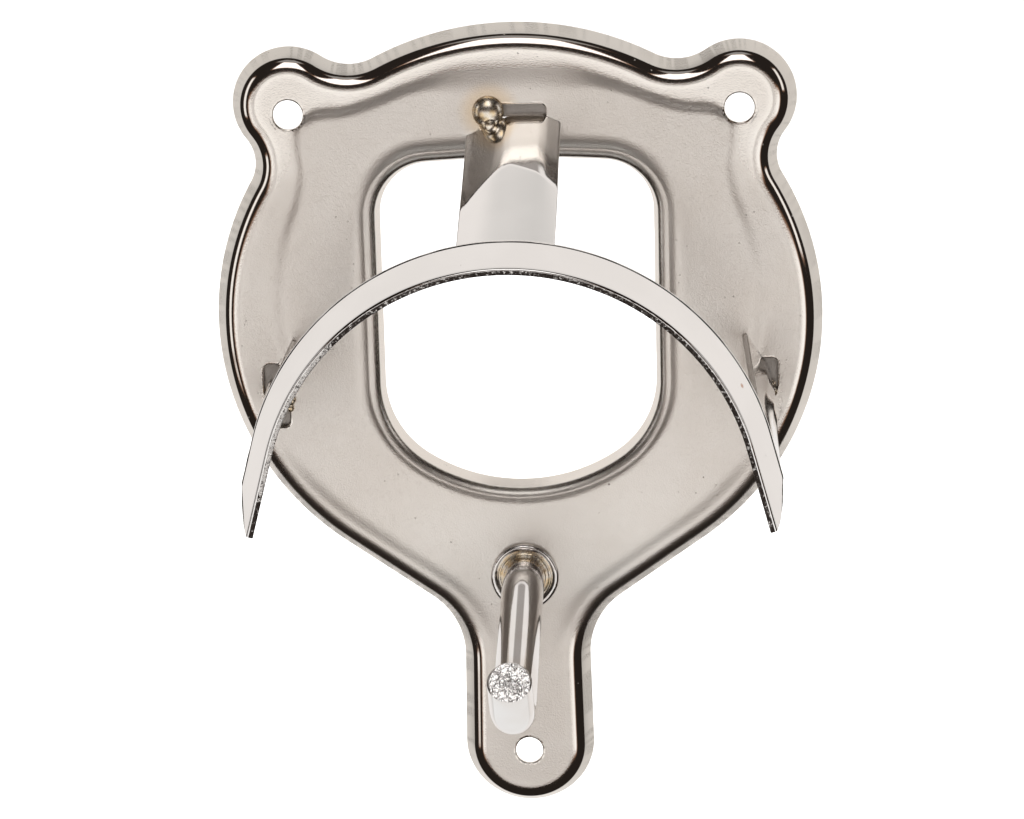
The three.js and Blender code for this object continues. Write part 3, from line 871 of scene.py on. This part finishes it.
def build_rest():
    build_band()
    face, behind = -DEPTH, -DEPTH + SHEET
    w = TAB_WIDTH / 2
    half = SLOT_LONG / 2 - TONGUE_EDGE
    tongue = [
        (y, -half, TOP_TAB_HEIGHT + rise, half, TOP_TAB_HEIGHT + rise)
        for y, rise in ((face - 0.1, 1.66), (face + 0.2, 1.7), (face + 0.6, 1.8), (behind, 2.0),
                        (behind + 1.2, 2.1))
    ]
    pad = (*TOP_SLOT, SLOT_LONG / 2 + PAD_MARGIN, SLOT_SHORT / 2 + PAD_MARGIN + 0.2)
    build_tab("crown_tab_top", -w, w, (-w, TOP_TAB_HEIGHT), (w, TOP_TAB_HEIGHT), tongue, pad, top_tab_bulge)

    lean = math.radians(SIDE_TAB_LEAN)
    low = (SIDE_TAB_TOP[0] + TAB_WIDTH * math.sin(lean), SIDE_TAB_TOP[1] - TAB_WIDTH * math.cos(lean))
    (top_x, top_z), (foot_x, foot_z) = SIDE_TONGUE_TOP, SIDE_TONGUE_FOOT
    tongue = [
        (y, top_x + out, top_z, foot_x + out, foot_z)
        for y, out in ((face - 0.1, -0.1), (face + 0.3, 0.0), (face + 0.7, 0.05), (behind, 0.1),
                       (behind + 1.2, 0.1))
    ]
    pad = (*SIDE_SLOT, SLOT_SHORT / 2 + PAD_MARGIN, SLOT_LONG / 2 + PAD_MARGIN)
    for name, flip in (("crown_tab_right", False), ("crown_tab_left", True)):
        build_tab(name, SIDE_TAB_START, SIDE_TAB_START + SIDE_TAB_WIDTH, SIDE_TAB_TOP, low, tongue, pad,
                  side_tab_bulge, flip)


# ---------------------------------------------------------------- hook
def build_rod():
    shell = Shell()
    path, _ = trace(0, ROD_HEIGHT, 0, ROD_PATH, chord=0.0008, longest=0.8)
    turn = np.arange(ROD_SIDES) / ROD_SIDES * 2 * math.pi
    wobble = Ripple(900, 6.0)

    def circle(row, radius, ahead=0.0):
        """A ring round the rod's path. Rows are forward, z and the path's normal."""
        forward, z, nx, nz = row
        c, s = radius * np.cos(turn), radius * np.sin(turn)
        return np.column_stack([c, rod_hi[1] - (forward + nz * ahead + nx * s), z - nx * ahead + nz * s])

    foot = ((0.01, 0.0), (ROD_RADIUS - 0.5, 0.0), (ROD_RADIUS - 0.1, 0.12))
    rings = [circle(path[0], radius, ahead) for radius, ahead in foot]
    for k, row in enumerate(path[1:-1]):
        rings.append(circle(row, ROD_RADIUS - 0.012 * (1 + wobble(k * 0.8))))

    last = path[-1]
    *_, nx, nz = last
    inner = ROD_RADIUS - SAW_CHAMFER - 0.1

    def cut_back(made, by):
        """Moves a ring at the rod's end back along the rod, by a length for each point."""
        made[:, 1] += nz * by
        made[:, 2] += nx * by
        return made

    for a in np.radians(np.linspace(0, 90, 6)):
        radius = ROD_RADIUS - SAW_CHAMFER * (1 - math.cos(a)) - 0.1
        made = circle(last, radius, -SAW_CHAMFER * (1 - math.sin(a)) - 0.2)
        rings.append(cut_back(made, SAW_SLANT * (inner - ROD_RADIUS * np.sin(turn))))
    body = len(rings)
    # The sawn end: rings to the centre with torn grains.
    for k, r in enumerate(np.linspace(inner, 0.05, SAW_RINGS)[1:]):
        grain = np.array([rng.gauss(0, 0.045) for _ in range(ROD_SIDES)])
        grain = np.clip(grain, -0.2, 0.14) * min(1, (k + 1) / 3) * (1 if r > 0.6 else r / 0.6)
        rings.append(cut_back(circle(last, r, -0.2), SAW_SLANT * (inner - r * np.sin(turn)) - grain))
    starts = shell.loft(rings, kinds=[0] * (body - 1) + [1] * (len(rings) - body))
    shell.cap(starts[0], ROD_SIDES, 0)
    shell.cap(starts[-1], ROD_SIDES, 1)
    obj = shell.build("hook_bar", [DRAWN, SAWN], smooth_angle=60)
    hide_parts("hook_rod")


def build_collar():
    """The ring at the rod's foot, with a run of weld metal between it and the rod."""
    shell = Shell()
    turn = np.arange(COLLAR_SIDES) / COLLAR_SIDES * 2 * math.pi
    bore, outer = ROD_RADIUS + 0.05, COLLAR_RADIUS - 0.06
    base, top = -DEPTH + 0.25, COLLAR_HEIGHT * 0.95
    split = bore + 1.15  # from here inwards it is weld metal
    profile = [(outer, 0.1, 0)]  # radius, height and material
    for a in np.linspace(0, math.pi / 2, 9):
        inwards, down = COLLAR_CORNER * (1 - math.cos(a)), COLLAR_CORNER * (1 - math.sin(a))
        profile.append((outer - inwards, top - down, 0))
    brim = outer - COLLAR_CORNER
    for share in (0.25, 0.5, 0.75, 1.0):
        profile.append((brim - (brim - split) * share, top - COLLAR_DIP * share**1.5, 0))
    for a in np.linspace(0.1, 1.0, 8):
        profile.append((split - (split - bore) * a, top - COLLAR_DIP + 0.95 * a**2, 1))

    swell, dent = Ripple(1200, 0.55), Ripple(1300, 0.18)
    wave = 0.05 * swell(turn / (2 * math.pi) * 6) + 0.015 * dent(turn / (2 * math.pi) * 9)
    closing = smooth((turn - 5.4) / 0.85)  # brings the noise back to its start after one turn
    wave = wave * (1 - closing) + wave[0] * closing

    def circle(radius, y):
        return np.column_stack([radius * np.cos(turn), np.broadcast_to(y, COLLAR_SIDES),
                                ROD_HEIGHT + radius * np.sin(turn)])

    rings = []
    for r, h, _ in profile:
        radius = np.minimum(r + wave * (1 if h > 0.15 else 0.5), COLLAR_RADIUS - 0.01)
        rings.append(circle(radius, base - h * (1 + wave)))
    rings += [circle(bore - 0.3, base - 1.0), circle(bore - 0.3, base)]
    kinds = [kind for *_, kind in profile[1:]] + [1, 0]
    starts = shell.loft(rings, kinds=kinds)
    shell.bridge(starts[-1], starts[0], COLLAR_SIDES)
    obj = shell.build("hook_collar_ring", [TURNED, STRAW], smooth_angle=60)
    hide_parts("hook_collar")


# ---------------------------------------------------------------- welds
def build_weld(name, node, lumps, side=1):
    """Lumps of weld metal run together, made in millimetres and then scaled."""
    bm = bmesh.new()
    for x, height, z, r, flat in lumps:
        made = bmesh.ops.create_icosphere(bm, subdivisions=5, radius=1.0)
        bmesh.ops.scale(bm, vec=(r, r * flat, r), verts=made["verts"])
        bmesh.ops.translate(bm, vec=(side * x, -DEPTH - height, z), verts=made["verts"])
    mesh = bpy.data.meshes.new(name + "_lumps")
    bm.to_mesh(mesh)
    bm.free()
    rough = bpy.data.objects.new(name + "_lumps", mesh)
    bpy.context.scene.collection.objects.link(rough)
    remesh = rough.modifiers.new("run", "REMESH")
    remesh.mode = "VOXEL"
    remesh.voxel_size = BEAD_VOXEL
    soften = rough.modifiers.new("soften", "SMOOTH")
    soften.iterations = BEAD_SMOOTHING
    soften.factor = 0.5
    made = bpy.data.meshes.new_from_object(rough.evaluated_get(bpy.context.evaluated_depsgraph_get()))
    bpy.data.objects.remove(rough)
    for v in made.vertices:
        v.co.y = min(v.co.y, -DEPTH + 0.7)
        v.co *= MM
    for p in made.polygons:
        p.use_smooth = True
    made.name = name
    obj = finished(name, made, [STRAW])
    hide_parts(node)


def build_welds():
    build_weld("weld_top", "weld_bead_top", TOP_BEAD)
    build_weld("weld_left", "weld_bead_left", SIDE_BEADS, side=-1)
    build_weld("weld_right", "weld_bead_right", SIDE_BEADS)


# ---------------------------------------------------------------- studio
# Softboxes: azimuth and elevation of the middle, half width and height, softness, brightness.
SOFTBOXES = (
    (-3, 47, 21, 18, 5, 1.6),
    (-3, 76, 60, 10, 8, 0.30),
    (-68, 4, 9, 24, 5, 1.0),
    (72, 16, 9, 16, 5, 1.0),
    (0, -14, 42, 13, 12, 1.12),
)
ROOM = (0.020, 0.016, 0.014, 1)


def paint_world():
    """A dark room with softboxes in front, and white paper behind and above."""
    world = bpy.data.worlds.new("studio")
    bpy.context.scene.world = world
    world.use_nodes = True
    n = Nodes(world.node_tree)
    xyz = n.add("ShaderNodeSeparateXYZ")
    n.put(xyz.inputs[0], n.add("ShaderNodeTexCoord").outputs["Generated"])
    x, y, z = xyz.outputs
    degrees = 180 / math.pi
    elevation = n.math("MULTIPLY", n.math("ARCSINE", z), degrees)
    azimuth = n.math("MULTIPLY", n.math("ARCTAN2", x, n.math("MULTIPLY", y, -1.0)), degrees)

    def span(value, centre, half, soft):
        off = n.math("ABSOLUTE", n.math("SUBTRACT", value, centre))
        return n.remap(off, half - soft / 2, half + soft / 2, 1.0, 0.0)

    def lit(mask):
        """Dark, then a warm fringe, then the light itself."""
        ramp = n.add("ShaderNodeValToRGB")
        stops = ramp.color_ramp.elements
        stops[0].position, stops[0].color = 0.0, (0, 0, 0, 1)
        stops[1].position, stops[1].color = 1.0, (1, 1, 1, 1)
        fringe = stops.new(0.35)
        fringe.color = (0.22, 0.11, 0.06, 1)
        n.put(ramp.inputs[0], mask)
        return ramp.outputs[0]

    light = ROOM
    for az, el, wide, high, soft, brightness in SOFTBOXES:
        mask = n.math("MULTIPLY", span(azimuth, az, wide, soft), span(elevation, el, high, soft))
        box = n.mix(1.0, lit(mask), (brightness, brightness, brightness, 1), "MULTIPLY")
        light = n.mix(1.0, light, box, "ADD")
    # The paper is dimmer towards its front edge, with a grey card low in its middle.
    depth = n.math("MULTIPLY_ADD", z, 0.2, y)
    depth = n.math("MULTIPLY_ADD", n.math("MAXIMUM", x, 0.0), 0.10, depth)
    paper = n.mix(n.remap(depth, 0.52, 0.68), (0.72, 0.705, 0.69, 1), (0.90, 0.87, 0.85, 1))
    middle = n.remap(n.math("ABSOLUTE", azimuth), 163, 166)
    grey = n.math("MULTIPLY", middle, span(elevation, 48.5, 4, 3))
    paper = n.mix(grey, paper, (0.36, 0.335, 0.32, 1))
    light = n.mix(n.remap(depth, 0.43, 0.51), light, paper)
    # The backdrop itself is white.
    camera_ray = n.add("ShaderNodeLightPath").outputs["Is Camera Ray"]
    back = n.add("ShaderNodeBackground")
    n.put(back.inputs["Color"], n.mix(camera_ray, light, (1, 1, 1, 1)))
    n.put(n.add("ShaderNodeOutputWorld").inputs[0], back.outputs[0])


def level_sheet(name, half, near, far, height, material):
    """A level rectangle of the studio, in metres."""
    mesh = bpy.data.meshes.new(name)
    corners = [(-half, near, height), (half, near, height), (half, far, height), (-half, far, height)]
    mesh.from_pydata(corners, [], [(0, 1, 2, 3)])
    mesh.materials.append(material)
    sheet = bpy.data.objects.new(name, mesh)
    bpy.context.scene.collection.objects.link(sheet)
    return sheet


def build_floor():
    material = bpy.data.materials.new("floor_pale")
    material.use_nodes = True
    n = Nodes(material.node_tree)
    shader = n.add("ShaderNodeBsdfPrincipled")
    n.put(shader.inputs["Base Color"], n.mix(n.noise(8, 2), (0.93, 0.93, 0.93, 1), (0.95, 0.95, 0.95, 1)))
    shader.inputs["Roughness"].default_value = 0.9
    n.put(n.add("ShaderNodeOutputMaterial").inputs[0], shader.outputs[0])
    floor = level_sheet("floor", 12.0, -12.0, 12.0, float(cad_lo[2]) - 0.30, material)
    floor.visible_glossy = False


def build_hook_card():
    """A small white card under the hook, which only its reflections show."""
    material = bpy.data.materials.new("card_white")
    material.use_nodes = True
    n = Nodes(material.node_tree)
    glow = n.add("ShaderNodeEmission")
    glow.inputs["Strength"].default_value = 0.9
    n.put(n.add("ShaderNodeOutputMaterial").inputs[0], glow.outputs[0])
    card = level_sheet("hook_card", 0.045, -0.110, -0.058, float(rod_lo[2]) * MM - 0.015, material)
    card.visible_camera = card.visible_diffuse = card.visible_shadow = False


def build_lamp():
    """One large soft lamp overhead, which the metal doesn't mirror."""
    lamp = bpy.data.lights.new("overhead", "AREA")
    lamp.shape = "RECTANGLE"
    lamp.size, lamp.size_y = 6.0, 6.0
    lamp.energy = 380.0
    overhead = bpy.data.objects.new("overhead", lamp)
    overhead.location = (0, 0, 3.0)
    overhead.visible_camera = False
    overhead.visible_glossy = False
    bpy.context.scene.collection.objects.link(overhead)


def build_camera(distance=0.900):
    """A long lens a little above the middle and to the right of it."""
    scene = bpy.context.scene
    camera = bpy.data.objects.new("camera", bpy.data.cameras.new("camera"))
    scene.collection.objects.link(camera)
    azimuth, elevation, roll = map(math.radians, (3.0, 15.0, -1.5))
    target = Vector((0.00025, 0.0, 0.0183))
    back = Vector((math.sin(azimuth) * math.cos(elevation), -math.cos(azimuth) * math.cos(elevation),
                   math.sin(elevation)))
    camera.location = target + back * distance
    turn = (-back).to_track_quat("-Z", "Y").to_matrix()
    turn = turn @ Matrix.Rotation(roll, 3, "Z")
    camera.rotation_mode = "QUATERNION"
    camera.rotation_quaternion = turn.to_quaternion()
    camera.data.sensor_width = 36.0
    camera.data.lens = 127.5
    camera.data.shift_x = -0.0107
    camera.data.clip_start, camera.data.clip_end = 0.05, 20.0
    scene.camera = camera


build_backplate()
build_rest()
build_rod()
build_collar()
build_welds()
bpy.context.scene.view_settings.view_transform = "Standard"
paint_world()
build_floor()
build_hook_card()
build_lamp()
build_camera()
